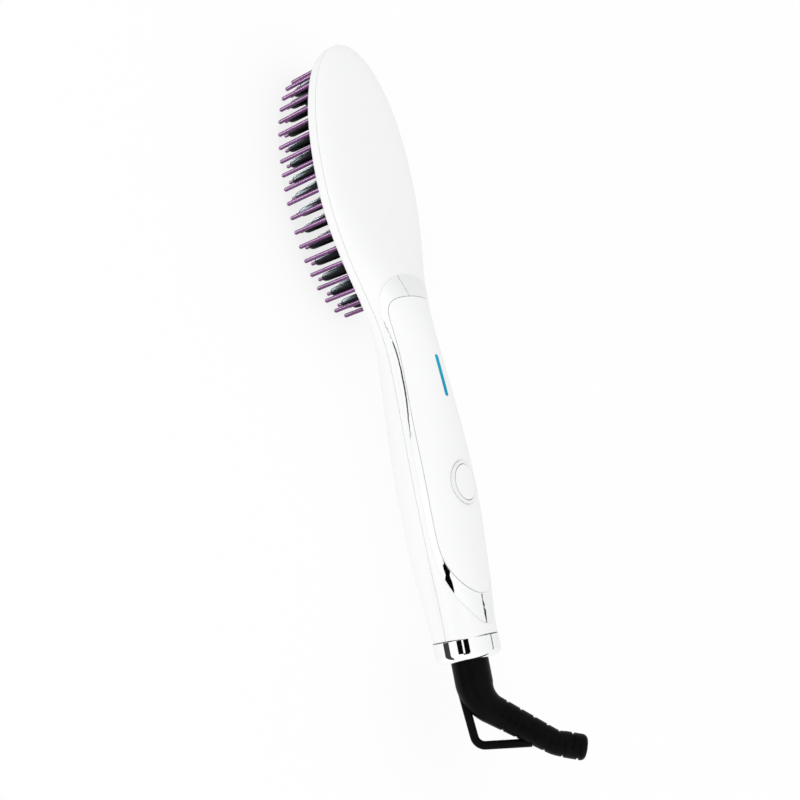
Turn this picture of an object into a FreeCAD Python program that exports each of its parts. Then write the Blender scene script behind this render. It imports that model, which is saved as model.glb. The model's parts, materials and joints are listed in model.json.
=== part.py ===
import FreeCAD, Part
import math
import os
from collections import namedtuple
from FreeCAD import Vector

# Hair straightening brush: a two-shell paddle with a heated bristle bed, a chrome-trimmed
# control panel and a cord boot that swivels on the end of the handle.
# Working frame: X runs along the handle from the end collar to the head, Z points out of the
# back with the button, and the origin is on the handle axis at the collar's upper edge.

# Clearances
fit = 0.1
running = 0.3
overrun = 2.0

# Housing form
handle_length = 150.0
head_length = 138.0
head_width = 65.4
grip_width = 37.8
grip_seam_rise = 2.5
head_seam_drop = 3.7
head_crown = 7.0
head_depth = 9.6
shell_wall = 2.2
seam_gap = 0.2

# Shares of the grip width
back_share = 0.4392
belly_share = 0.4762
end_share = 0.3862
board_share = 0.4656

# Shares of the handle length, half grip width, seam rise, back height and belly depth
grip_shares = (
    (0.100, 0.825, 0.40, 0.873, 0.911),
    (0.200, 0.910, 0.68, 0.916, 0.972),
    (0.333, 0.989, 0.96, 0.970, 1.000),
    (0.467, 1.000, 0.92, 1.000, 1.000),
    (0.600, 0.921, 0.48, 1.006, 0.989),
    (0.733, 0.804, -0.12, 0.976, 0.944),
    (0.867, 0.735, -0.64, 0.880, 0.867),
)
# Shares of the head length, half head width, seam drop, crown and depth, then belly squareness
neck_shares = (
    (0.000, 0.492, 0.81, 2.13, 1.21, 0.58, 0.58),
    (0.109, 0.645, 0.97, 1.77, 1.08, 0.67, 0.72),
    (0.217, 0.810, 1.00, 1.37, 1.02, 0.77, 0.84),
    (0.362, 0.957, 1.00, 1.07, 1.00, 0.84, 0.93),
)
widest_share = 0.522
tip_shares = (0.0, 0.27, 0.515, 0.70, 0.83, 0.92, 0.97, 0.993, 0.9995)
tip_crown_power = 4
tip_depth_power = 18
round_share = 0.5523
crown_side_share = 0.58
crown_face_share = 0.60
head_side_share = 0.85
head_face_share = 0.95

# Control panel inlay and its chrome band, as shares of the handle length and back height
recess_depth = 1.4
trim_proud = 0.3
panel_proud = 0.1
strip_width = 2.8
strip_shares = (
    (0.300, 0.476), (0.420, 0.494), (0.533, 0.470), (0.667, 0.373), (0.800, 0.301), (0.920, 0.235),
)
panel_foot_shares = (
    (0.060, 1.160), (0.127, 0.867), (0.167, 0.711), (0.200, 0.596), (0.240, 0.506),
)
panel_arch_shares = (
    (0.980, 0.211), (1.020, 0.277), (1.040, 0.452), (1.047, 0.651), (1.053, 0.904), (1.060, 1.205),
)
trim_foot_shares = (
    (-0.020, 1.160), (0.040, 0.849), (0.080, 0.735), (0.120, 0.590), (0.153, 0.494), (0.193, 0.392),
)
trim_arch_shares = (
    (0.980, 0.030), (1.027, 0.078), (1.067, 0.217), (1.093, 0.355), (1.120, 0.500), (1.147, 0.693),
    (1.190, 1.205),
)

# Light bar and power button on the panel
light_share = 0.72
light_length = 20.0
light_width = 2.2
button_share = 0.4533
bezel_length = 20.0
bezel_width = 17.0
bezel_rim = 1.6
bezel_proud = 0.7
button_proud = 0.9
button_travel = 0.6
button_flange = 1.2
button_flange_thickness = 1.0
button_flange_room = 2.4
button_stem_radius = 2.5

# Bristle bed: an oval row of guard pins in the frame round oval rows of heated teeth
bed_length_share = 0.8768
bed_width_share = 0.8135
bed_offset = 0.8
bed_face_depth = 7.5
bed_rim = 1.6
bed_ledge = 1.5
bed_floor = 2.3
pin_count = 40
pin_radius = 1.0
pin_length = 22.8
pin_seat = 1.6
tooth_counts = (32, 26, 20)
tooth_inset = 4.0
tooth_row_share = 0.143
tooth_base_radius = 2.1
tooth_shoulder_radius = 1.95
tooth_top_radius = 0.95
tooth_length = 20.2
tooth_shoulder_share = 0.8
tooth_bulge_share = 0.9
tooth_bulge_radius_share = 0.82
tooth_shank_radius = 1.3
tip_shank_radius = 0.6
tip_shank_length = 2.5
tip_radius = 0.85
tip_length = 3.2

# Heating plate and what is clamped on its back
plate_gap = 0.4
plate_recess = 0.8
plate_thickness = 3.4
plate_flange = 2.4
tooth_seat = 2.8
chip_count = 3
chip_gap = 4.0
chip_width = 14.0
chip_thickness = 1.8
electrode_width = 5.0
electrode_spacing = 7.2
electrode_thickness = 0.4
electrode_margin = 12.5
electrode_spare = 2.0
electrode_bare = 6.0
mica_margin = 1.9
mica_thickness = 0.5
clamp_end = 4.0
clamp_gap = 5.0
clamp_width = 10.0
clamp_thickness = 0.8
clamp_boss_radius = 2.6
clamp_screw_radius = 1.0
clamp_screw_head_radius = 2.0
clamp_screw_head = 1.4
clamp_screw_bite = 3.0
sensor_gap = 2.0
thermistor_radius = 1.6
thermistor_length = 8.0
fuse_radius = 2.0
fuse_length = 11.0
hold_post_radius = 2.0
hold_post_share = 0.36

# Control board in the handle
board_start_share = 0.24
board_end_share = 0.8667
board_top = 2.5
board_thickness = 1.6
board_screw_shares = (0.3067, 0.6533)
board_boss_radius = 3.0
board_screw_radius = 1.1
board_screw_head_radius = 2.2
board_screw_head = 1.6
board_screw_bite = 6.0
switch_size = 6.0
switch_height = 3.5
plunger_radius = 1.7
plunger_stand = 0.7
plunger_depth = 1.6
led_length = 3.0
led_width = 2.0
led_height = 1.5
light_bar_gap = 0.4
capacitor_share = 0.7467
capacitor_length = 18.0
capacitor_width = 8.0
capacitor_height_share = 0.667
triac_share = 0.56
triac_width = 10.0
triac_thickness = 4.4
triac_height_share = 0.72

# Screws that join the shells
shell_screw_shares = (0.18, 0.94)
shell_boss_radius = 3.4
shell_screw_radius = 1.3
shell_screw_head_radius = 2.5
shell_screw_head = 2.0
shell_screw_seat = -10.0
shell_screw_length = 14.0
shell_boss_split = -3.0

# End collar and swivel
collar_lip = 0.4
collar_length = 9.5
collar_wall = 2.5
collar_round = 3.5
collar_neck = 6.0
collar_neck_gap = 0.5
collar_neck_wall = 1.0
socket_end = 16.0
socket_wall = 4.5
socket_flange = 1.5
spigot_tail = 11.0
ring_places = (8.8, 12.3)
ring_width = 1.6
ring_thickness = 0.7
contact_width = 4.0
contact_thickness = 1.2
contact_stand = 1.1
contact_angle = 35.0
clip_thickness = 1.0
clip_lip = 2.2
clip_groove = 0.9
spigot_end = 1.6

# Cord boot with its hang loop
boot_wall = 2.3
boot_turn = 40.0
boot_bend_angle = 51.7
boot_bend_place = 28.1
boot_bend_radius = 16.0
boot_leg_length = 36.0
boot_leg_radius = 6.65
boot_neck_radius = 5.6
boot_tip_turn = 18.0
boot_tip_bend_radius = 16.0
boot_tip_length = 11.4
boot_tip_radius = 5.8
boot_tip_flare = 1.5
boot_tip_round = 2.5
slot_count = 6
slot_start_share = 0.328
slot_pitch_share = 0.1875
slot_width = 1.3
slot_depth = 0.4
slot_sweep = 200.0
cord_bore_radius = 3.3
cord_bore_depth = 12.0
loop_radius = 1.9
loop_bend_radius = 5.0
# Loop centre line: how far past the collar, and height above the handle axis
loop_places = ((22.0, -6.2), (46.8, -4.2), (50.0, 20.0))

# Leads inside the handle, with the places of their bends along it
lead_radius = 0.8
lead_bend_radius = 2.2
lead_inset = 4.0
lead_spacing = 2.0
sensor_lead_reach = 38.0
head_lead_run = 10.0
head_lead_shoulder_share = 0.9267
head_lead_rise = 3.8

Station = namedtuple("Station", "x half seam crown belly side face")

# Sizes and places that follow from those above
back_height = back_share * grip_width
belly_depth = belly_share * grip_width
end_radius = end_share * grip_width
board_width = board_share * grip_width
light_start = light_share * handle_length
button_place = button_share * handle_length
board_start = board_start_share * handle_length
board_end = board_end_share * handle_length
board_screw_places = [share * handle_length for share in board_screw_shares]
shell_screw_places = [share * handle_length for share in shell_screw_shares]
capacitor_place = capacitor_share * handle_length
triac_place = triac_share * handle_length
capacitor_height = capacitor_height_share * belly_depth
triac_height = triac_height_share * belly_depth
button_flange_top = back_height - shell_wall - button_flange_room
widest_x = handle_length + widest_share * head_length
bed_x = widest_x - bed_offset
bed_length = bed_length_share * head_length
bed_width = bed_width_share * head_width
opening_length = bed_length - 2 * bed_ledge
opening_width = bed_width - 2 * bed_ledge
row_pitch = tooth_row_share * bed_width
electrode_length = opening_length - 2 * electrode_margin
chip_pitch = (electrode_length - electrode_spare) / chip_count
chip_length = chip_pitch - chip_gap
mica_length = electrode_length - electrode_bare
mica_width = electrode_spacing + electrode_width + 2 * mica_margin
clamp_hole_pitch = electrode_length + 2 * clamp_gap
clamp_length = clamp_hole_pitch + 2 * clamp_end
sensor_offset = mica_width / 2 + sensor_gap + fuse_radius
hold_post_along = hold_post_share * opening_length
hold_post_across = sensor_offset + lead_radius + hold_post_radius + 2 * fit
collar_radius = end_radius + collar_lip
collar_neck_radius = end_radius - shell_wall - collar_neck_gap
collar_bore_radius = collar_neck_radius - collar_neck_wall
socket_radius = collar_bore_radius - 2 * fit
socket_flange_radius = collar_neck_radius - 2 * fit
contact_reach = socket_radius + contact_stand
spigot_radius = socket_radius - socket_wall
clip_radius = spigot_radius + clip_lip
boot_stem_radius = spigot_radius + boot_wall
supply_lead_end = board_start + lead_inset
head_lead_end = board_end - lead_inset
head_lead_shoulder = head_lead_shoulder_share * handle_length
head_lead_knee = handle_length + head_lead_run
sensor_lead_bend = bed_x - sensor_lead_reach
head_seam = -head_seam_drop
bed_face = head_seam - bed_face_depth
floor_top = bed_face + bed_floor
plate_front = bed_face + plate_recess
plate_back = plate_front + plate_thickness
chip_top = plate_back + chip_thickness
electrode_top = chip_top + electrode_thickness
mica_top = electrode_top + mica_thickness
clamp_top = mica_top + clamp_thickness
pin_tip = bed_face - pin_length
board_bottom = board_top - board_thickness
switch_top = board_top + switch_height
plunger_top = switch_top + plunger_stand
collar_end = -collar_length
collar_floor = collar_end + collar_wall
socket_start = collar_floor + fit
boot_top = socket_start - running


def stations(inset):
    """Sections of the housing from the collar to the head's tip, drawn in by inset."""
    rows = [Station(0, end_radius, 0, end_radius, end_radius, round_share, round_share)]
    for along, width, seam, back, belly in grip_shares:
        seam_z = seam * grip_seam_rise
        crown = back * back_height - seam_z
        depth = belly * belly_depth + seam_z
        half = width * grip_width / 2
        rows.append(Station(along * handle_length, half, seam_z, crown, depth, round_share, round_share))
    for along, width, seam, crown, belly, side, face in neck_shares:
        rows.append(Station(handle_length + along * head_length, width * head_width / 2,
                            seam * head_seam, crown * head_crown, belly * head_depth, side, face))
    drawn = [row._replace(half=row.half - inset, crown=row.crown - inset, belly=row.belly - inset)
             for row in rows]
    reach = head_length * (1 - widest_share) - inset
    for share in tip_shares:
        drawn.append(Station(widest_x + reach * share,
                             (head_width / 2 - inset) * math.sqrt(1 - share ** 2), head_seam,
                             (head_crown - inset) * math.sqrt(1 - share ** tip_crown_power),
                             (head_depth - inset) * math.sqrt(1 - share ** tip_depth_power),
                             head_side_share, head_face_share))
    return drawn


def arch(row, base, height, side, face):
    """Two curved quarters from one side of a section to the other."""
    def at(y, rise):
        return Vector(row.x, y, base + rise)

    def curve(*poles):
        bezier = Part.BezierCurve()
        bezier.setPoles(list(poles))
        return bezier.toShape()

    half = row.half
    return [curve(at(half, 0), at(half, side * height), at(face * half, height), at(0, height)),
            curve(at(0, height), at(-face * half, height), at(-half, side * height), at(-half, 0))]


def upper_section(row):
    closing = Part.makeLine(Vector(row.x, -row.half, row.seam), Vector(row.x, row.half, row.seam))
    return Part.Wire(arch(row, row.seam, row.crown, crown_side_share, crown_face_share) + [closing])


def lower_section(row):
    base = row.seam - seam_gap
    closing = Part.makeLine(Vector(row.x, -row.half, base), Vector(row.x, row.half, base))
    return Part.Wire(arch(row, base, seam_gap - row.belly, row.side, row.face) + [closing])


def skirt(row, base, reach):
    """Straight sides that carry a section past the seam, for a hollow that cuts through it."""
    near, far = Vector(row.x, -row.half, base), Vector(row.x, row.half, base)
    drop = Vector(0, 0, reach)
    return Part.makePolygon([near, near + drop, far + drop, far]).Edges


def upper_hollow(row):
    base = row.seam - seam_gap
    edges = arch(row, base, row.crown + seam_gap, crown_side_share, crown_face_share)
    return Part.Wire(edges + skirt(row, base, -belly_depth))


def lower_hollow(row):
    edges = arch(row, row.seam, -row.belly, row.side, row.face)
    return Part.Wire(edges + skirt(row, row.seam, back_height))


def body(section, inset):
    return Part.makeLoft([section(row) for row in stations(inset)], True)


def fuse(first, others):
    return first.fuse(others).removeSplitter()


def rod(radius, x, y, low, high):
    """Upright cylinder between two heights."""
    return Part.makeCylinder(radius, high - low, Vector(x, y, low))


def slab(length, width, low, high, x, y=0):
    """Box centred on x and y between two heights."""
    return Part.makeBox(length, width, high - low, Vector(x - length / 2, y - width / 2, low))


def oval(length, width, low, high, x):
    """Upright oval prism centred on the handle's mid plane."""
    edge = Part.Ellipse(Vector(x, 0, low), length / 2, width / 2).toShape()
    return Part.Face(Part.Wire([edge])).extrude(Vector(0, 0, high - low))


def along_x(inner, outer, start, end):
    """Ring or disc about the handle axis."""
    disc = Part.makeCylinder(outer, end - start, Vector(start, 0, 0), Vector(1, 0, 0))
    if not inner:
        return disc
    hole = Part.makeCylinder(inner, end - start + 2 * overrun, Vector(start - overrun, 0, 0), Vector(1, 0, 0))
    return disc.cut(hole)


def rounded_path(points, radius):
    """Straight runs joined by tangent arcs."""
    edges = []
    start = points[0]
    for before, corner, after in zip(points, points[1:], points[2:]):
        arrive = (corner - before).normalize()
        leave = (after - corner).normalize()
        turn = arrive.getAngle(leave)
        reach = radius * math.tan(turn / 2)
        enter = corner - arrive * reach
        leaving = corner + leave * reach
        inward = (leave - arrive).normalize()
        middle = corner + inward * (radius / math.cos(turn / 2) - radius)
        edges.append(Part.makeLine(start, enter))
        edges.append(Part.Arc(enter, middle, leaving).toShape())
        start = leaving
    edges.append(Part.makeLine(start, points[-1]))
    return Part.Wire(edges)


def tube(points, radius, bend):
    path = rounded_path(points, bend)
    direction = points[1] - points[0]
    section = Part.Wire([Part.Circle(points[0], direction, radius).toShape()])
    return path.makePipeShell([section], True, True)


def inlay_region(foot_shares, arch_shares, drop, tuck):
    """Block above a curve drawn on the side of the handle, its edge drawn in by tuck."""
    def at(share, slide, lift):
        return Vector(share[0] * handle_length + slide, -head_width, share[1] * back_height + lift)

    points = [at(share, tuck, tuck) for share in foot_shares]
    points += [at(share, 0, tuck - drop) for share in strip_shares]
    points += [at(share, -tuck, tuck) for share in arch_shares]
    curve = Part.BSplineCurve()
    curve.interpolate(points)
    top = 2 * back_height
    first, last = points[0], points[-1]
    lid = [last, Vector(last.x, last.y, top), Vector(first.x, first.y, top), first]
    outline = Part.Wire([curve.toShape()] + Part.makePolygon(lid).Edges)
    return Part.Face(outline).extrude(Vector(0, 2 * head_width, 0))


def panel_region(tuck):
    return inlay_region(panel_foot_shares, panel_arch_shares, 0, tuck)


def trim_region(tuck):
    return inlay_region(trim_foot_shares, trim_arch_shares, strip_width, tuck)


def oval_places(length, width, count, half_step):
    """Evenly spaced places round an oval, counted from the middle of its long side."""
    side = Part.Ellipse(Vector(bed_x, 0, 0), length / 2, width / 2).toShape()
    steps = 4 * count
    points = Part.Wire([side]).discretize(steps + 1)
    first = count + (2 if half_step else 0)
    return [points[(first + 4 * index) % steps] for index in range(count)]


def tooth_places():
    places = []
    for row, count in enumerate(tooth_counts):
        inset = 2 * (tooth_inset + row * row_pitch)
        places += oval_places(bed_length - inset, bed_width - inset, count, row % 2 == 0)
    return places


def light_hole(low, high, gap):
    """Slot with round ends."""
    radius = light_width / 2
    middle = light_start + light_length / 2
    reach = light_length / 2 - radius
    ends = [rod(radius + gap, middle + side * reach, 0, low, high) for side in (-1, 1)]
    return fuse(slab(2 * reach, light_width + 2 * gap, low, high, middle), ends)


def bezel_hole(low, high, grow):
    return oval(bezel_length + 2 * grow, bezel_width + 2 * grow, low, high, button_place)


def back_cover():
    """Upper shell with the inlay's recess, board bosses, shell bosses and plate posts."""
    recess = trim_region(0).cut(body(upper_section, recess_depth))
    shell = body(upper_section, 0).cut(body(upper_hollow, shell_wall)).cut(recess)
    bosses = [rod(board_boss_radius, x, 0, board_top, 2 * back_height) for x in board_screw_places]
    bosses += [rod(shell_boss_radius, x, 0, shell_boss_split + fit, 2 * back_height)
               for x in shell_screw_places]
    for along in (-hold_post_along, hold_post_along):
        for across in (-hold_post_across, hold_post_across):
            bosses.append(rod(hold_post_radius, bed_x + along, across, plate_back + fit, back_height))
    inside = body(upper_hollow, (recess_depth + shell_wall) / 2)
    shell = fuse(shell, [boss.common(inside) for boss in bosses])
    cuts = [bezel_hole(board_top, 2 * back_height, -bezel_rim), light_hole(board_top, 2 * back_height, fit)]
    for x in board_screw_places:
        cuts.append(rod(board_screw_radius + fit / 2, x, 0, board_bottom, board_top + board_screw_bite))
    for x in shell_screw_places:
        top = shell_screw_seat + shell_screw_length + fit
        cuts.append(rod(shell_screw_radius + fit / 2, x, 0, shell_boss_split - overrun, top))
    return shell.cut(cuts)


def front_frame():
    """Lower shell with the oval opening of the bristle bed and the seats of the guard pins."""
    outer = body(lower_section, 0)
    seat_length = bed_length + 2 * bed_rim
    seat_width = bed_width + 2 * bed_rim
    floor = oval(head_length, head_width, -2 * belly_depth, floor_top, bed_x)
    shell = outer.cut(body(lower_hollow, shell_wall).cut(floor))
    bosses = [rod(shell_boss_radius, x, 0, -2 * belly_depth, shell_boss_split) for x in shell_screw_places]
    shell = fuse(shell, [boss.common(outer) for boss in bosses])
    cuts = [oval(seat_length, seat_width, -2 * belly_depth, bed_face, bed_x),
            oval(opening_length, opening_width, -2 * belly_depth, head_seam, bed_x)]
    for place in oval_places(bed_length, bed_width, pin_count, False):
        seat = bed_face + pin_seat + fit
        cuts.append(rod(pin_radius + fit / 2, place.x, place.y, bed_face - overrun, seat))
    for x in shell_screw_places:
        cuts.append(rod(shell_screw_head_radius + fit, x, 0, -2 * belly_depth, shell_screw_seat))
        top = shell_boss_split + overrun
        cuts.append(rod(shell_screw_radius + fit, x, 0, shell_screw_seat - overrun, top))
    return shell.cut(cuts)


def chrome_trim():
    band = body(upper_section, -trim_proud).common(trim_region(fit))
    return band.cut([body(upper_section, recess_depth - fit), panel_region(0)])


def control_panel():
    inlay = body(upper_section, -panel_proud).common(panel_region(fit))
    return inlay.cut([body(upper_section, recess_depth - fit),
                      bezel_hole(board_top, 2 * back_height, fit),
                      light_hole(board_top, 2 * back_height, fit)])


def light_bar():
    bar = light_hole(board_top + led_height + light_bar_gap, 2 * back_height, 0)
    return bar.common(body(upper_section, -panel_proud))


def button_bezel():
    ring = bezel_hole(board_top, 2 * back_height, 0).common(body(upper_section, -bezel_proud))
    return ring.cut([body(upper_section, recess_depth - fit), bezel_hole(0, 2 * back_height, -bezel_rim)])


def button_cap():
    grow = -bezel_rim - running
    cap = bezel_hole(button_flange_top, 2 * back_height, grow).common(body(upper_section, -button_proud))
    bottom = button_flange_top - button_flange_thickness
    flange = bezel_hole(bottom, button_flange_top, grow + button_flange)
    stem = rod(button_stem_radius, button_place, 0, plunger_top, bottom)
    return fuse(cap, [flange, stem])


def switch_plunger():
    return rod(plunger_radius, button_place, 0, switch_top - plunger_depth, plunger_top)


def tact_switch():
    case = slab(switch_size, switch_size, board_top, switch_top, button_place)
    depth = plunger_depth + button_travel + running
    return case.cut(rod(plunger_radius + running, button_place, 0, switch_top - depth, switch_top + overrun))


def main_board():
    middle = (board_start + board_end) / 2
    board = slab(board_end - board_start, board_width, board_bottom, board_top, middle)
    holes = [rod(board_screw_radius + fit, x, 0, board_bottom - overrun, board_top + overrun)
             for x in board_screw_places]
    return board.cut(holes)


def indicator_leds():
    middle = light_start + light_length / 2
    return [slab(led_length, led_width, board_top, board_top + led_height, middle + side * light_length / 4)
            for side in (-1, 1)]


def film_capacitor():
    bottom = board_bottom - capacitor_height
    return slab(capacitor_length, capacitor_width, bottom, board_bottom, capacitor_place)


def triac():
    return slab(triac_thickness, triac_width, board_bottom - triac_height, board_bottom, triac_place)


def board_screws():
    screws = []
    for x in board_screw_places:
        head = rod(board_screw_head_radius, x, 0, board_bottom - board_screw_head, board_bottom)
        shank = rod(board_screw_radius, x, 0, board_bottom, board_top + board_screw_bite - fit)
        screws.append(fuse(head, [shank]))
    return screws


def shell_screws():
    screws = []
    for x in shell_screw_places:
        head = rod(shell_screw_head_radius, x, 0, shell_screw_seat - shell_screw_head, shell_screw_seat)
        shank = rod(shell_screw_radius, x, 0, shell_screw_seat, shell_screw_seat + shell_screw_length)
        screws.append(fuse(head, [shank]))
    return screws


def guard_pins():
    pins = []
    for place in oval_places(bed_length, bed_width, pin_count, False):
        shaft = rod(pin_radius, place.x, place.y, pin_tip + pin_radius, bed_face + pin_seat)
        dome = Part.makeSphere(pin_radius, Vector(place.x, place.y, pin_tip + pin_radius))
        pins.append(fuse(shaft, [dome]))
    return pins


def bullet(place):
    """Tapered tooth with a rounded shoulder, a shank in the plate and a bore for its tip."""
    length = tooth_length
    shoulder = tooth_shoulder_share * length
    bulge = shoulder + tooth_bulge_share * (length - shoulder) / 2

    def at(radius, depth):
        return Vector(place.x + radius, place.y, plate_front - depth)

    bulge_radius = tooth_bulge_radius_share * tooth_shoulder_radius
    edges = Part.makePolygon([at(0, -tooth_seat), at(tooth_shank_radius, -tooth_seat),
                              at(tooth_shank_radius, 0), at(tooth_base_radius, 0),
                              at(tooth_shoulder_radius, shoulder)]).Edges
    edges.append(Part.Arc(at(tooth_shoulder_radius, shoulder), at(bulge_radius, bulge),
                          at(tooth_top_radius, length)).toShape())
    edges += Part.makePolygon([at(tooth_top_radius, length), at(tip_shank_radius, length),
                               at(tip_shank_radius, length - tip_shank_length),
                               at(0, length - tip_shank_length), at(0, -tooth_seat)]).Edges
    return Part.Face(Part.Wire(edges)).revolve(at(0, 0), Vector(0, 0, 1), 360)


def heated_teeth():
    return [bullet(place) for place in tooth_places()]


def tooth_tips():
    tips = []
    for place in tooth_places():
        def at(radius, depth):
            return Vector(place.x + radius, place.y, plate_front - tooth_length - depth)

        shank = tip_shank_radius - fit / 2
        edges = Part.makePolygon([at(0, fit - tip_shank_length), at(shank, fit - tip_shank_length),
                                  at(shank, 0), at(tip_radius, 0),
                                  at(tip_radius, tip_length - tip_radius)]).Edges
        middle = tip_radius * math.sqrt(2) / 2
        edges.append(Part.Arc(at(tip_radius, tip_length - tip_radius),
                              at(middle, tip_length - tip_radius + middle), at(0, tip_length)).toShape())
        edges.append(Part.makeLine(at(0, tip_length), at(0, fit - tip_shank_length)))
        tips.append(Part.Face(Part.Wire(edges)).revolve(at(0, 0), Vector(0, 0, 1), 360))
    return tips


def clamp_places():
    return [bed_x - clamp_hole_pitch / 2, bed_x + clamp_hole_pitch / 2]


def heating_plate():
    """Oval plate that fills the frame's opening and is flanged behind its edge."""
    plate = oval(opening_length - 2 * plate_gap, opening_width - 2 * plate_gap,
                 plate_front, plate_back, bed_x)
    flange = oval(opening_length + 2 * plate_flange, opening_width + 2 * plate_flange,
                  floor_top + fit, plate_back, bed_x)
    bosses = [rod(clamp_boss_radius, x, 0, plate_back, mica_top - fit) for x in clamp_places()]
    plate = fuse(plate, [flange] + bosses)
    seat = plate_front + tooth_seat + fit
    cuts = [rod(tooth_shank_radius + fit / 2, place.x, place.y, plate_front - overrun, seat)
            for place in tooth_places()]
    for x in clamp_places():
        cuts.append(rod(clamp_screw_radius + fit / 2, x, 0, mica_top - clamp_screw_bite, mica_top + overrun))
    return plate.cut(cuts)


def heater_chips():
    first = bed_x - chip_pitch * (chip_count - 1) / 2
    return [slab(chip_length, chip_width, plate_back, chip_top, first + index * chip_pitch)
            for index in range(chip_count)]


def heater_electrodes():
    return [slab(electrode_length, electrode_width, chip_top, electrode_top, bed_x, side)
            for side in (-electrode_spacing / 2, electrode_spacing / 2)]


def mica_sheet():
    slide = (electrode_length - mica_length) / 2
    return slab(mica_length, mica_width, electrode_top, mica_top, bed_x + slide)


def heater_clamp():
    bar = slab(clamp_length, clamp_width, mica_top, clamp_top, bed_x)
    bar = bar.makeFillet(clamp_width / 4, [edge for edge in bar.Edges if edge.tangentAt(0).z])
    holes = [rod(clamp_screw_radius + fit, x, 0, mica_top - overrun, clamp_top + overrun)
             for x in clamp_places()]
    return bar.cut(holes)


def clamp_screws():
    screws = []
    for x in clamp_places():
        head = rod(clamp_screw_head_radius, x, 0, clamp_top, clamp_top + clamp_screw_head)
        shank = rod(clamp_screw_radius, x, 0, mica_top - clamp_screw_bite + fit, clamp_top)
        screws.append(fuse(head, [shank]))
    return screws


def lying_bead(radius, length, side):
    start = Vector(bed_x - length / 2, side * sensor_offset, plate_back + radius + fit)
    return Part.makeCylinder(radius, length, start, Vector(1, 0, 0))


def thermistor():
    return lying_bead(thermistor_radius, thermistor_length, 1)


def thermal_fuse():
    return lying_bead(fuse_radius, fuse_length, -1)


def end_collar():
    """Chrome ring that closes the handle, with a neck inside the shells."""
    ring = along_x(0, collar_radius, collar_end, -fit)
    rim = [edge for edge in ring.Edges if edge.Closed and edge.BoundBox.XMax < collar_floor]
    ring = ring.makeFillet(collar_round, rim)
    ring = fuse(ring, [along_x(0, collar_neck_radius, -fit, collar_neck)])
    mouth = boot_stem_radius + running
    return ring.cut([along_x(0, mouth, collar_end - overrun, collar_floor),
                     along_x(0, collar_bore_radius, collar_floor, collar_neck + overrun)])


def contact_shape(x, grow, low):
    block = Part.makeBox(contact_thickness + 2 * grow, contact_width + 2 * grow, contact_reach - low,
                         Vector(x - contact_thickness / 2 - grow, -contact_width / 2 - grow, low))
    return block


def contact_turns():
    return [(ring_places[0], contact_angle), (ring_places[1], -contact_angle)]


def turned(shape, angle):
    copy = shape.copy()
    copy.rotate(Vector(0, 0, 0), Vector(1, 0, 0), angle)
    return copy


def swivel_socket():
    """Fixed bush that carries the spigot and its contacts."""
    bush = along_x(0, socket_radius, socket_start, socket_end)
    flange = along_x(0, socket_flange_radius, collar_neck + fit, collar_neck + fit + socket_flange)
    bush = fuse(bush, [flange])
    cuts = [along_x(0, spigot_radius + running, socket_start - overrun, socket_end + overrun)]
    cuts += [turned(contact_shape(x, fit, 0), angle) for x, angle in contact_turns()]
    return bush.cut(cuts)


def contact_springs():
    return [turned(contact_shape(x, 0, spigot_radius + running), angle) for x, angle in contact_turns()]


def clip_start():
    return socket_end + running


def swivel_spigot():
    """Turning core of the cord boot, grooved for its rings and its clip."""
    start = boot_top - spigot_tail
    core = along_x(0, spigot_radius, start, clip_start() + clip_thickness + spigot_end)
    grooves = [along_x(spigot_radius - ring_thickness - fit, spigot_radius + overrun,
                       x - ring_width / 2 - fit, x + ring_width / 2 + fit) for x in ring_places]
    grooves.append(along_x(spigot_radius - clip_groove - fit, spigot_radius + overrun,
                           clip_start() - fit, clip_start() + clip_thickness + fit))
    return core.cut(grooves)


def slip_rings():
    return [along_x(spigot_radius - ring_thickness, spigot_radius, x - ring_width / 2, x + ring_width / 2)
            for x in ring_places]


def retaining_clip():
    ring = along_x(spigot_radius - clip_groove, clip_radius, clip_start(), clip_start() + clip_thickness)
    gap = Part.makeBox(clip_thickness + 2 * overrun, spigot_radius, 2 * clip_radius,
                       Vector(clip_start() - overrun, -spigot_radius / 2, -2 * clip_radius))
    return ring.cut(gap)


def boot_heading(angle):
    """Way that the boot points after turning by an angle, and the way across it."""
    turn = math.radians(angle)
    return Vector(-math.cos(turn), 0, math.sin(turn)), Vector(math.sin(turn), 0, math.cos(turn))


def boot_axis():
    """Corner of the boot's bend, the way its leg points, the way across it, and the bend's reach."""
    leg, across = boot_heading(boot_bend_angle)
    return Vector(-boot_bend_place, 0, 0), leg, across, boot_bend_radius * math.tan(math.radians(boot_bend_angle) / 2)


def tip_arc():
    return boot_tip_bend_radius * math.radians(boot_tip_turn)


def leg_frame(along):
    """Point of the leg's centre line at a distance from the corner, and the ways along and across it there."""
    corner, leg, across, reach = boot_axis()
    past = along - boot_leg_length
    share = min(max(past / tip_arc(), 0), 1)
    ahead, beside = boot_heading(boot_bend_angle + boot_tip_turn * share)
    point = corner + leg * min(along, boot_leg_length) + (across - beside) * boot_tip_bend_radius
    return point + ahead * max(past - tip_arc(), 0), ahead, beside


def boot_bend(start, first, turn, bend_radius, sizes):
    """Round bend from a point and a heading, with its radius at both ends."""
    circles = []
    steps = 4
    for step in range(steps + 1):
        share = step / steps
        ahead, across = boot_heading(first + turn * share)
        middle = start + (boot_heading(first)[1] - across) * bend_radius
        radius = sizes[0] + (sizes[1] - sizes[0]) * share
        circles.append(Part.Wire([Part.Circle(middle, ahead, radius).toShape()]))
    return Part.makeLoft(circles, True)


def leg_radius(along):
    """Radius of the leg at a distance from the corner of the bend."""
    reach = boot_axis()[3]
    share = min((along - reach) / (boot_leg_length - reach), 1)
    return boot_leg_radius + (boot_neck_radius - boot_leg_radius) * share


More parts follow.
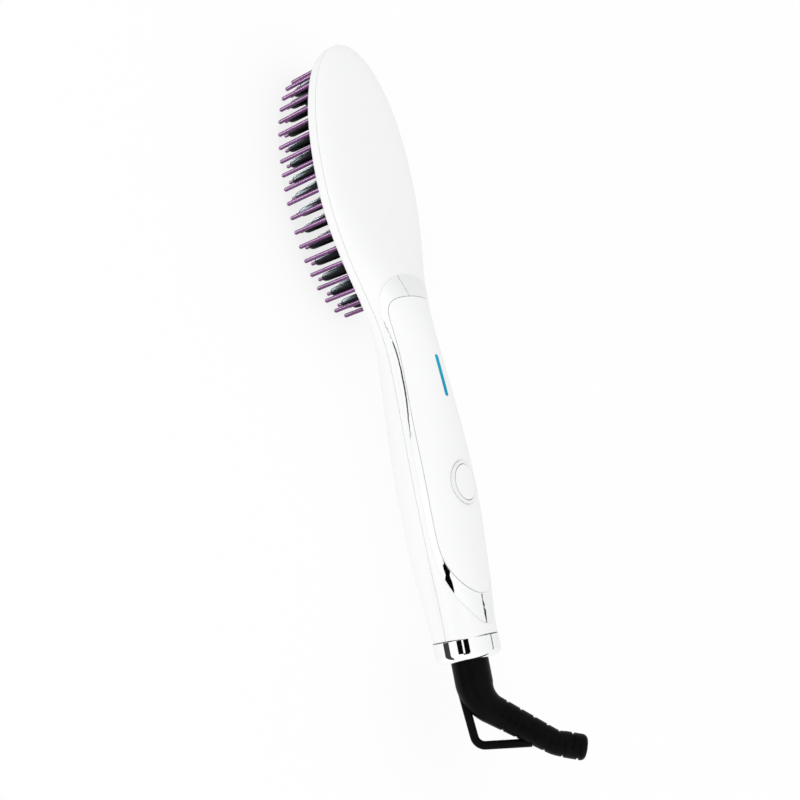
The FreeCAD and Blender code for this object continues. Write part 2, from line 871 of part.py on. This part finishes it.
def boot_lip():
    """Last stretch of the leg with a rounded end."""
    start, ahead, beside = leg_frame(boot_leg_length + tip_arc())

    def at(along, radius):
        return start + ahead * along + beside * radius

    round_start = boot_tip_length - boot_tip_round
    flat = boot_tip_radius - boot_tip_round
    edges = Part.makePolygon([at(0, 0), at(0, boot_neck_radius), at(boot_tip_flare, boot_tip_radius),
                              at(round_start, boot_tip_radius)]).Edges
    middle = boot_tip_round * math.sqrt(2) / 2
    edges.append(Part.Arc(at(round_start, boot_tip_radius), at(round_start + middle, flat + middle),
                          at(boot_tip_length, flat)).toShape())
    edges += Part.makePolygon([at(boot_tip_length, flat), at(boot_tip_length, 0), at(0, 0)]).Edges
    return Part.Face(Part.Wire(edges)).revolve(start, ahead, 360)


def boot_slots():
    """Slots that let the leg flex, cut from its two sides in turn."""
    slots = []
    for side in range(2):
        for index in range(slot_count):
            along = (slot_start_share + (index + side / 2) * slot_pitch_share) * boot_leg_length
            point, ahead, beside = leg_frame(along)
            near = point - ahead * (slot_width / 2)
            inner = beside * (leg_radius(along) - slot_depth)
            outer = beside * (boot_leg_radius + overrun)
            wide = ahead * slot_width
            outline = [near + inner, near + inner + wide, near + outer + wide, near + outer, near + inner]
            slot = Part.Face(Part.makePolygon(outline)).revolve(point, ahead, slot_sweep)
            slot.rotate(point, ahead, side * 180 - slot_sweep / 2)
            slots.append(slot)
    return slots


def cord_boot():
    """Rubber boot: stem, bend, slotted leg and hang loop, bored for the spigot and the cord."""
    corner, leg, across, reach = boot_axis()
    stem_end = Vector(corner.x + reach, 0, 0)
    stem = along_x(0, boot_stem_radius, stem_end.x, boot_top)
    elbow = boot_bend(stem_end, 0, boot_bend_angle, boot_bend_radius, (boot_stem_radius, boot_leg_radius))
    cone = Part.makeCone(boot_leg_radius, boot_neck_radius, boot_leg_length - reach, corner + leg * reach, leg)
    tip_bend = boot_bend(corner + leg * boot_leg_length, boot_bend_angle, boot_tip_turn, boot_tip_bend_radius,
                         (boot_neck_radius, boot_neck_radius))
    loop = tube([Vector(-along, 0, height) for along, height in loop_places], loop_radius, loop_bend_radius)
    slotted = stem.fuse([elbow, cone, tip_bend, boot_lip()]).cut(boot_slots())
    boot = slotted.fuse(loop)
    mouth, out, beside = leg_frame(boot_leg_length + tip_arc() + boot_tip_length + overrun)
    cord_bore = Part.makeCylinder(cord_bore_radius, cord_bore_depth + overrun, mouth, out * -1)
    core_bore = along_x(0, spigot_radius + fit, boot_top - spigot_tail - fit, boot_top + overrun)
    return turned(boot.cut([cord_bore, core_bore]), boot_turn)


def supply_leads():
    """Two leads from the swivel's contacts to the near end of the board."""
    leads = []
    reach = socket_radius + lead_radius + 2 * fit
    for x, angle in contact_turns():
        side = -reach * math.sin(math.radians(angle))
        height = reach * math.cos(math.radians(angle))
        start = x + contact_thickness / 2 + fit
        points = [Vector(start, side, height), Vector(supply_lead_end, side, height),
                  Vector(supply_lead_end, side, board_top)]
        leads.append(tube(points, lead_radius, lead_bend_radius))
    return leads


def head_lead(approach, side):
    """Lead that comes down the neck and over the far end of the board."""
    low = approach[-1].z
    high = board_top + head_lead_rise
    points = approach + [Vector(head_lead_knee, side, low), Vector(head_lead_shoulder, side, high),
                         Vector(head_lead_end, side, high), Vector(head_lead_end, side, board_top)]
    return tube(points, lead_radius, lead_bend_radius)


def heater_lead_side():
    return clamp_width / 2 + lead_radius + fit


def heater_leads():
    """One lead on the bare end of each electrode."""
    x = bed_x - electrode_length / 2 + electrode_bare - lead_radius
    z = electrode_top + lead_radius + fit
    return [head_lead([Vector(x, side, z)], side) for side in (-heater_lead_side(), heater_lead_side())]


def sensor_leads():
    """One lead from the temperature sensor and one from the fuse."""
    leads = []
    for turn, radius, length in ((1, thermistor_radius, thermistor_length), (-1, fuse_radius, fuse_length)):
        z = plate_back + radius + fit
        y = turn * sensor_offset
        approach = [Vector(bed_x - length / 2 - fit, y, z), Vector(sensor_lead_bend, y, z)]
        leads.append(head_lead(approach, turn * (heater_lead_side() + lead_spacing)))
    return leads


def base_point():
    """Point under the middle of the whole brush, at the height of the longest bristle tips."""
    lip, ahead, beside = leg_frame(boot_leg_length + tip_arc() + boot_tip_length - boot_tip_round)
    back = lip.x - beside.x * (boot_tip_radius - boot_tip_round) - boot_tip_round
    front = widest_x + head_length * (1 - widest_share)
    return Vector((front + back) / 2, 0, pin_tip)


def main():
    os.makedirs("parts", exist_ok=True)
    makers = (
        back_cover, front_frame, chrome_trim, control_panel, light_bar, button_bezel, end_collar,
        guard_pins, heating_plate, heated_teeth, tooth_tips, heater_chips, heater_electrodes,
        mica_sheet, heater_clamp, clamp_screws, thermistor, thermal_fuse, main_board, tact_switch,
        indicator_leds, film_capacitor, triac, board_screws, shell_screws, supply_leads,
        heater_leads, sensor_leads, swivel_socket, contact_springs, button_cap, switch_plunger,
        cord_boot, swivel_spigot, slip_rings, retaining_clip,
    )
    shift = base_point() * -1
    for make in makers:
        made = make()
        solids = made if isinstance(made, list) else made.Solids
        shape = Part.makeCompound(solids) if len(solids) > 1 else solids[0]
        shape = shape.copy()
        shape.translate(shift)
        shape.exportStep(f"parts/{make.__name__}.step")
        print(make.__name__, len(solids), shape.isValid(), round(shape.Volume, 1))
    print("shift", shift)


main()
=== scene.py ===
import json
import math

import bmesh
import bpy
from mathutils import Matrix, Vector


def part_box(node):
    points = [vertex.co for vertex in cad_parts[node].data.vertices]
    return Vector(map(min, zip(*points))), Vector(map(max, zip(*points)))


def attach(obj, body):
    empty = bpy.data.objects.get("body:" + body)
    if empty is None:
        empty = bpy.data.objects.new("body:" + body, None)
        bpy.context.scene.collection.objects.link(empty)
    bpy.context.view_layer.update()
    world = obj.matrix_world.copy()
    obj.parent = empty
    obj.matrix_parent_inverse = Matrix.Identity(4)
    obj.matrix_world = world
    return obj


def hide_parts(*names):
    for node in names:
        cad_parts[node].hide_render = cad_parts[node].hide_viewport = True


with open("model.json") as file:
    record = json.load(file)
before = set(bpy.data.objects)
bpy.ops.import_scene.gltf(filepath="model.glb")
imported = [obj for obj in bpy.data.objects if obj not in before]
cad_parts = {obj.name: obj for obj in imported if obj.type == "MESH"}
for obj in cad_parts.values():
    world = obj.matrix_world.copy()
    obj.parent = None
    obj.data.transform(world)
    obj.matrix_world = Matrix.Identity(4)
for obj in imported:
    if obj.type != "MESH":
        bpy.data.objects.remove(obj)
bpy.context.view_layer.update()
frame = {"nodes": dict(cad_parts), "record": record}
nodes = frame["nodes"]
scene = bpy.context.scene

# Camera at the photograph's viewing angle
camera_place = (-0.1066277, 0.5078, 0.4178)
camera_forward = Vector((0.1633, -0.7791, -0.6052)).normalized()
camera_side = Vector((-0.1878, -0.6268, 0.7562))


def make_camera():
    data = bpy.data.cameras.new("photo_camera")
    data.sensor_width = 36.0
    data.lens = 63.0
    data.clip_start = 0.01
    data.clip_end = 50.0
    camera = bpy.data.objects.new("photo_camera", data)
    right = (camera_side - camera_forward * camera_side.dot(camera_forward)).normalized()
    up = right.cross(camera_forward)
    turn = Matrix((right, up, -camera_forward)).transposed()
    camera.matrix_world = Matrix.Translation(camera_place) @ turn.to_4x4()
    scene.collection.objects.link(camera)
    scene.camera = camera


make_camera()

# Materials: where most of a noise lies, how much finer gloss is than colour, and the detail of relief
noise_low, noise_high = 0.3, 0.7
gloss_finer = 3.7
relief_detail = 2.0


def node(tree, kind, **values):
    """Node with its own properties or its sockets set by name."""
    made = tree.nodes.new(kind)
    for name, value in values.items():
        if hasattr(made, name):
            setattr(made, name, value)
        else:
            made.inputs[name].default_value = value
    return made


def place(tree, stretch=(1, 1, 1)):
    """Object coordinates in metres, stretched along the axes."""
    source = node(tree, "ShaderNodeTexCoord")
    mapping = node(tree, "ShaderNodeMapping", Scale=stretch)
    tree.links.new(source.outputs["Object"], mapping.inputs["Vector"])
    return mapping.outputs["Vector"]


def noise(tree, scale, detail, stretch):
    made = node(tree, "ShaderNodeTexNoise", Scale=scale, Detail=detail)
    tree.links.new(place(tree, stretch), made.inputs["Vector"])
    return made.outputs["Fac"]


def blend(tree, factor, low, high):
    """Colour between two colours."""
    made = node(tree, "ShaderNodeValToRGB")
    first, last = made.color_ramp.elements
    first.position, last.position = noise_low, noise_high
    first.color, last.color = (*low, 1), (*high, 1)
    tree.links.new(factor, made.inputs["Fac"])
    return made.outputs["Color"]


def spread(tree, factor, low, high):
    """Number between two numbers."""
    made = node(tree, "ShaderNodeMapRange")
    limits = {"From Min": noise_low, "From Max": noise_high, "To Min": low, "To Max": high}
    for name, value in limits.items():
        made.inputs[name].default_value = value
    tree.links.new(factor, made.inputs["Value"])
    return made.outputs["Result"]


def bump(tree, factor, depth):
    """Relief of a depth in metres."""
    made = node(tree, "ShaderNodeBump", Strength=1.0, Distance=depth)
    tree.links.new(factor, made.inputs["Height"])
    return made.outputs["Normal"]


def finish(slot, low, high, patch, rough, grain, depth, detail=3.0, stretch=(1, 1, 1), **fixed):
    """Material with patchy colour and gloss and a fine relief; fixed sets sockets by name."""
    material = bpy.data.materials.new(slot)
    material.use_nodes = True
    tree = material.node_tree
    shader = tree.nodes["Principled BSDF"]
    for name, value in fixed.items():
        shader.inputs[name.replace("_", " ")].default_value = value
    patches = noise(tree, patch, detail, stretch)
    gloss = noise(tree, patch * gloss_finer, detail, stretch)
    relief = noise(tree, grain, relief_detail, stretch)
    tree.links.new(blend(tree, patches, low, high), shader.inputs["Base Color"])
    tree.links.new(spread(tree, gloss, *rough), shader.inputs["Roughness"])
    tree.links.new(bump(tree, relief, depth), shader.inputs["Normal"])
    return material


def add_glow(material):
    """Glow that rises and falls along the light pipe."""
    tree = material.node_tree
    wave = node(tree, "ShaderNodeTexWave", Scale=16.0, Distortion=0.4)
    tree.links.new(place(tree), wave.inputs["Vector"])
    colour = blend(tree, wave.outputs["Fac"], (0.0, 0.24, 0.36), (0.0, 0.32, 0.47))
    tree.links.new(colour, tree.nodes["Principled BSDF"].inputs["Emission Color"])


# Look of each slot: patch and grain are counts per metre, depth is in metres
looks = {
    "white_shell": dict(
        low=(0.868, 0.870, 0.874), high=(0.882, 0.884, 0.888), patch=9, rough=(0.26, 0.33),
        grain=1400, depth=2e-6, detail=0.0, Specular_IOR_Level=0.4, Coat_Weight=0.1, Coat_Roughness=0.12),
    "chrome": dict(
        low=(0.90, 0.905, 0.915), high=(0.94, 0.945, 0.95), patch=60, rough=(0.02, 0.05),
        grain=45, depth=4e-6, Metallic=1.0),
    "light": dict(
        low=(0.0, 0.15, 0.24), high=(0.0, 0.19, 0.29), patch=180, rough=(0.12, 0.22),
        grain=900, depth=2e-6, Specular_IOR_Level=0.1, Emission_Strength=0.55),
    "purple_nylon": dict(
        low=(0.078, 0.015, 0.084), high=(0.108, 0.024, 0.115), patch=160, rough=(0.28, 0.34),
        grain=1800, depth=5e-7, stretch=(1, 1, 0.25), Specular_IOR_Level=0.35),
    "black_coating": dict(
        low=(0.0015, 0.002, 0.0025), high=(0.003, 0.004, 0.005), patch=220, rough=(0.3, 0.36),
        grain=2600, depth=3e-7, Specular_IOR_Level=0.1),
    "chip_ceramic": dict(
        low=(0.20, 0.19, 0.18), high=(0.30, 0.29, 0.28), patch=900, rough=(0.55, 0.75),
        grain=2400, depth=1.5e-5),
    "brass": dict(
        low=(0.62, 0.42, 0.17), high=(0.80, 0.60, 0.28), patch=260, rough=(0.22, 0.38),
        grain=1600, depth=6e-6, stretch=(0.2, 1, 1), Metallic=1.0),
    "mica": dict(
        low=(0.46, 0.37, 0.24), high=(0.68, 0.58, 0.42), patch=380, rough=(0.35, 0.6),
        grain=900, depth=1.5e-5, detail=8.0),
    "steel": dict(
        low=(0.50, 0.50, 0.51), high=(0.66, 0.66, 0.67), patch=420, rough=(0.24, 0.42),
        grain=1800, depth=6e-6, stretch=(0.15, 1, 1), Metallic=1.0),
    "sensor_bead": dict(
        low=(0.42, 0.13, 0.05), high=(0.58, 0.22, 0.10), patch=700, rough=(0.12, 0.25),
        grain=1500, depth=8e-6, Coat_Weight=0.5),
    "fuse_case": dict(
        low=(0.66, 0.66, 0.67), high=(0.78, 0.78, 0.79), patch=500, rough=(0.2, 0.36),
        grain=1700, depth=5e-6, Metallic=1.0),
    "board": dict(
        low=(0.015, 0.15, 0.06), high=(0.035, 0.24, 0.11), patch=520, rough=(0.3, 0.45),
        grain=1300, depth=8e-6, Coat_Weight=0.3),
    "black_plastic": dict(
        low=(0.018, 0.018, 0.019), high=(0.034, 0.034, 0.036), patch=600, rough=(0.42, 0.6),
        grain=2600, depth=1e-5),
    "film_case": dict(
        low=(0.55, 0.09, 0.04), high=(0.72, 0.16, 0.08), patch=420, rough=(0.18, 0.3),
        grain=700, depth=1.5e-5, Coat_Weight=0.4),
    "led_lens": dict(
        low=(0.80, 0.86, 0.89), high=(0.88, 0.93, 0.95), patch=800, rough=(0.06, 0.14),
        grain=1500, depth=4e-6, Transmission_Weight=0.5),
    "natural_nylon": dict(
        low=(0.78, 0.76, 0.69), high=(0.88, 0.87, 0.82), patch=320, rough=(0.38, 0.52),
        grain=1800, depth=8e-6),
    "lead_sleeve": dict(
        low=(0.66, 0.65, 0.62), high=(0.78, 0.77, 0.74), patch=700, rough=(0.42, 0.58),
        grain=2200, depth=1e-5),
    "boot_rubber": dict(
        low=(0.0015, 0.0015, 0.0017), high=(0.003, 0.003, 0.0034), patch=130, rough=(0.32, 0.44),
        grain=2400, depth=5e-6, Specular_IOR_Level=0.045),
}
materials = {slot: finish(slot, **look) for slot, look in looks.items()}
add_glow(materials["light"])
for part in frame["record"]["subparts"]:
    mesh = nodes[part["node"]].data
    mesh.materials.clear()
    mesh.materials.append(materials[part["material_slot"]])

# Pieces that the scene makes itself: sizes in metres
tooth_length, tooth_nose = 0.0202, 0.0034
tooth_end_radius, tooth_side_radius, tooth_root_radius = 0.0010, 0.00215, 0.0024
nose_steps, tooth_sides = 7, 24
same_tooth, same_level = 0.004, 1e-5
collar_length, collar_lip = 0.0095, 0.0004
# Size of the dark ring of painted shade at the collar seam
bead, bead_sunk, bead_sides = 0.00045, 0.0001, 120


def turned(name, rings, closed_ends):
    """Round piece from rings of points; the ends are capped, or the last ring meets the first."""
    mesh = bpy.data.meshes.new(name)
    count = len(rings[0])
    steps = len(rings) - 1 if closed_ends else len(rings)
    faces = []
    for ring in range(steps):
        here, there = ring * count, (ring + 1) % len(rings) * count
        for k in range(count):
            nearby = (k + 1) % count
            faces.append((here + k, here + nearby, there + nearby, there + k))
    sides = len(faces)
    if closed_ends:
        faces.append(tuple(reversed(range(count))))
        faces.append(tuple(range(steps * count, (steps + 1) * count)))
    mesh.from_pydata([point for ring in rings for point in ring], [], faces)
    for face in mesh.polygons[:sides]:
        face.use_smooth = True
    return mesh


def circle(radius, count):
    turns = [math.tau * k / count for k in range(count)]
    return [(radius * math.cos(turn), radius * math.sin(turn)) for turn in turns]


def keep(name, mesh, slot):
    """Makes a mesh a piece of the brush body with a slot's material."""
    mesh.materials.append(materials[slot])
    piece = bpy.data.objects.new(name, mesh)
    scene.collection.objects.link(piece)
    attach(piece, "brush_body")
    return piece


def middle(points):
    """Middle of the box round some points."""
    return [(min(p[axis] for p in points) + max(p[axis] for p in points)) / 2 for axis in range(3)]


def tooth_places():
    """Middle of each packed tooth's end face."""
    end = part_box("heated_teeth")[0][2]
    groups = []
    for vertex in nodes["heated_teeth"].data.vertices:
        if vertex.co.z < end + same_level:
            near = [group for group in groups if (group[0] - vertex.co).length < same_tooth]
            if near:
                near[0].append(vertex.co.copy())
            else:
                groups.append([vertex.co.copy()])
    return [middle(group) for group in groups]


def tooth_mesh():
    """Blunt teeth: a rounded nose, then a slight taper to the root."""
    profile = []
    for step in range(nose_steps + 1):
        turn = math.pi / 2 * step / nose_steps
        radius = tooth_end_radius + (tooth_side_radius - tooth_end_radius) * math.sin(turn)
        profile.append((radius, tooth_nose * (1 - math.cos(turn))))
    profile.append((tooth_root_radius, tooth_length))
    whole = bmesh.new()
    for place_x, place_y, place_z in tooth_places():
        rings = [[(place_x + x, place_y - y, place_z + height) for x, y in circle(radius, tooth_sides)]
                 for radius, height in profile]
        one = turned("tooth", rings, True)
        whole.from_mesh(one)
        bpy.data.meshes.remove(one)
    mesh = bpy.data.meshes.new("blunt_teeth")
    whole.to_mesh(mesh)
    whole.free()
    return mesh


teeth = keep("blunt_teeth", tooth_mesh(), "black_coating")
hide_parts("heated_teeth")


def seam_shade_mesh():
    """Dark bead of painted shade in the corner between the housing's end and the collar: it stands in for
    the seam's shadow line.
    """
    low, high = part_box("end_collar")
    radius = (high[1] - low[1]) / 2 - collar_lip
    axis_height = (low[2] + high[2]) / 2
    start = low[0] + collar_length
    steep, shallow = 0.6 * bead, 0.4 * bead
    corners = ((0, -bead_sunk), (0, steep), (steep, shallow), (bead, 0), (bead, -bead_sunk))
    rings = [[(start + along, y, axis_height + z) for y, z in circle(radius + out, bead_sides)]
             for along, out in corners]
    return turned("collar_seam_shade", rings, False)


# Dark ring of painted shade where the collar meets the housing
keep("collar_seam_shade", seam_shade_mesh(), "black_plastic")

# Floor, and cards that the bright parts reflect: sizes in metres, angles in degrees
handle_height = 0.034
floor_reach, floor_height, mat_height = 4.0, -0.0005, 0.0002


def plain_material(name, colour, **fixed):
    material = bpy.data.materials.new(name)
    material.use_nodes = True
    shader = material.node_tree.nodes["Principled BSDF"]
    shader.inputs["Base Color"].default_value = (*colour, 1)
    shader.inputs["Roughness"].default_value = 0.9
    shader.inputs["Specular IOR Level"].default_value = 0.0
    for key, value in fixed.items():
        shader.inputs[key.replace("_", " ")].default_value = value
    return material


def sheet(name, corners, material):
    mesh = bpy.data.meshes.new(name)
    mesh.from_pydata(corners, [], [tuple(range(len(corners)))])
    mesh.materials.append(material)
    made = bpy.data.objects.new(name, mesh)
    scene.collection.objects.link(made)
    return made


def level_sheet(name, x, y, z, material):
    return sheet(name, [(x[0], y[0], z), (x[1], y[0], z), (x[1], y[1], z), (x[0], y[1], z)], material)


def for_gloss(made):
    """Leaves a card to be seen by mirror-like surfaces alone."""
    made.visible_camera = False
    made.visible_diffuse = False
    made.visible_transmission = False
    made.visible_shadow = False


def card(name, distance, *corners, material):
    """Card beside the handle: each corner is a place along the axis and an angle about it."""
    points = []
    for x, angle in corners:
        turn = math.radians(angle)
        points.append((x, distance * math.cos(turn), handle_height + distance * math.sin(turn)))
    for_gloss(sheet(name, points, material))


def band(start, end, low, high):
    """Corners of a card between two places and two angles."""
    return (start, low), (end, low), (end, high), (start, high)


def mat(name, x, y, material):
    """Card that lies on the floor."""
    for_gloss(level_sheet(name, x, y, mat_height, material))


floor_material = plain_material("floor", (0.18, 0.18, 0.18),
                                Emission_Color=(1, 1, 1, 1), Emission_Strength=0.81)
floor_sides = (-floor_reach, floor_reach)
floor = level_sheet("floor", floor_sides, floor_sides, floor_height, floor_material)
floor.visible_diffuse = False
floor.visible_glossy = False
floor.visible_transmission = False
floor.visible_shadow = False
dark = plain_material("dark_card", (0.002, 0.002, 0.002))
grey = plain_material("grey_card", (0.05, 0.05, 0.052))
pale = plain_material("pale_card", (0.6, 0.6, 0.605))
card("card_low", 0.12, *band(-0.135, -0.112, 6.0, 22.9), material=dark)
card("card_high", 0.12, *band(-0.135, -0.112, 28.4, 45.3), material=dark)
card("card_crescent", 0.5, (-0.3, 21), (-0.152, 21), (-0.152, 31), (-0.157, 37), (-0.172, 41), (-0.3, 44),
     material=dark)
card("card_far", 0.5, *band(-0.3, -0.06, 132.5, 136.5), material=grey)
card("card_arch", 0.5, *band(0.2, 0.45, 124.5, 127.0), material=pale)
mat("card_strip_end", (0.0, 0.047), (0.168, 0.195), pale)
mat("card_strip", (0.047, 0.085), (0.168, 0.195), grey)
mat("card_collar", (-0.2, -0.085), (0.043, 0.09), grey)

# Light: a white world, a little brighter on the camera's side and towards the handle's end
world = bpy.data.worlds.new("studio")
world.use_nodes = True
sky = world.node_tree
background = sky.nodes["Background"]
background.inputs["Color"].default_value = (1, 1, 1, 1)
aim = sky.nodes.new("ShaderNodeTexCoord")
lean = sky.nodes.new("ShaderNodeVectorMath")
lean.operation = "DOT_PRODUCT"
lean.inputs[1].default_value = (-0.1, 0.09, 0.0)
sky.links.new(aim.outputs["Generated"], lean.inputs[0])
level = sky.nodes.new("ShaderNodeMath")
level.operation = "ADD"
level.inputs[1].default_value = 1.0
sky.links.new(lean.outputs["Value"], level.inputs[0])
sky.links.new(level.outputs["Value"], background.inputs["Strength"])
scene.world = world


def soft_box(name, where, aim_at, size, energy, lights=()):
    """Square lamp, which lights every piece or only those given."""
    data = bpy.data.lights.new(name, "AREA")
    data.size = size
    data.energy = energy
    made = bpy.data.objects.new(name, data)
    made.location = where
    made.rotation_euler = (Vector(aim_at) - Vector(where)).to_track_quat("-Z", "Y").to_euler()
    made.visible_camera = False
    scene.collection.objects.link(made)
    if lights:
        group = bpy.data.collections.new(name)
        for piece in lights:
            group.objects.link(piece)
        made.light_linking.receiver_collection = group
    return made


soft_box("key", (-0.15, 1.1, 0.85), (0, 0, 0.03), size=0.7, energy=1.2).visible_glossy = False
bed = (0.10, 0.027, 0.015)
purple = (nodes["guard_pins"], nodes["tooth_tips"])
pin_lamp = soft_box("pin_lamp", (0.21, 0.42, -0.29), bed, size=0.2, energy=3.3, lights=purple)
tooth_lamps = [
    soft_box("tooth_lamp", (0.4186, 0.3828, -0.348), bed, size=0.45, energy=42.0, lights=(teeth,)),
    soft_box("tooth_side_lamp", (0.573, 0.095, -0.348), bed, size=0.2, energy=6.0, lights=(teeth,)),
]
pin_lamp.data.use_shadow = False
for lamp in tooth_lamps:
    lamp.data.use_shadow = False
    lamp.data.color = (0.8, 0.92, 1.0)
    lamp.visible_diffuse = False
scene.view_settings.view_transform = "Standard"
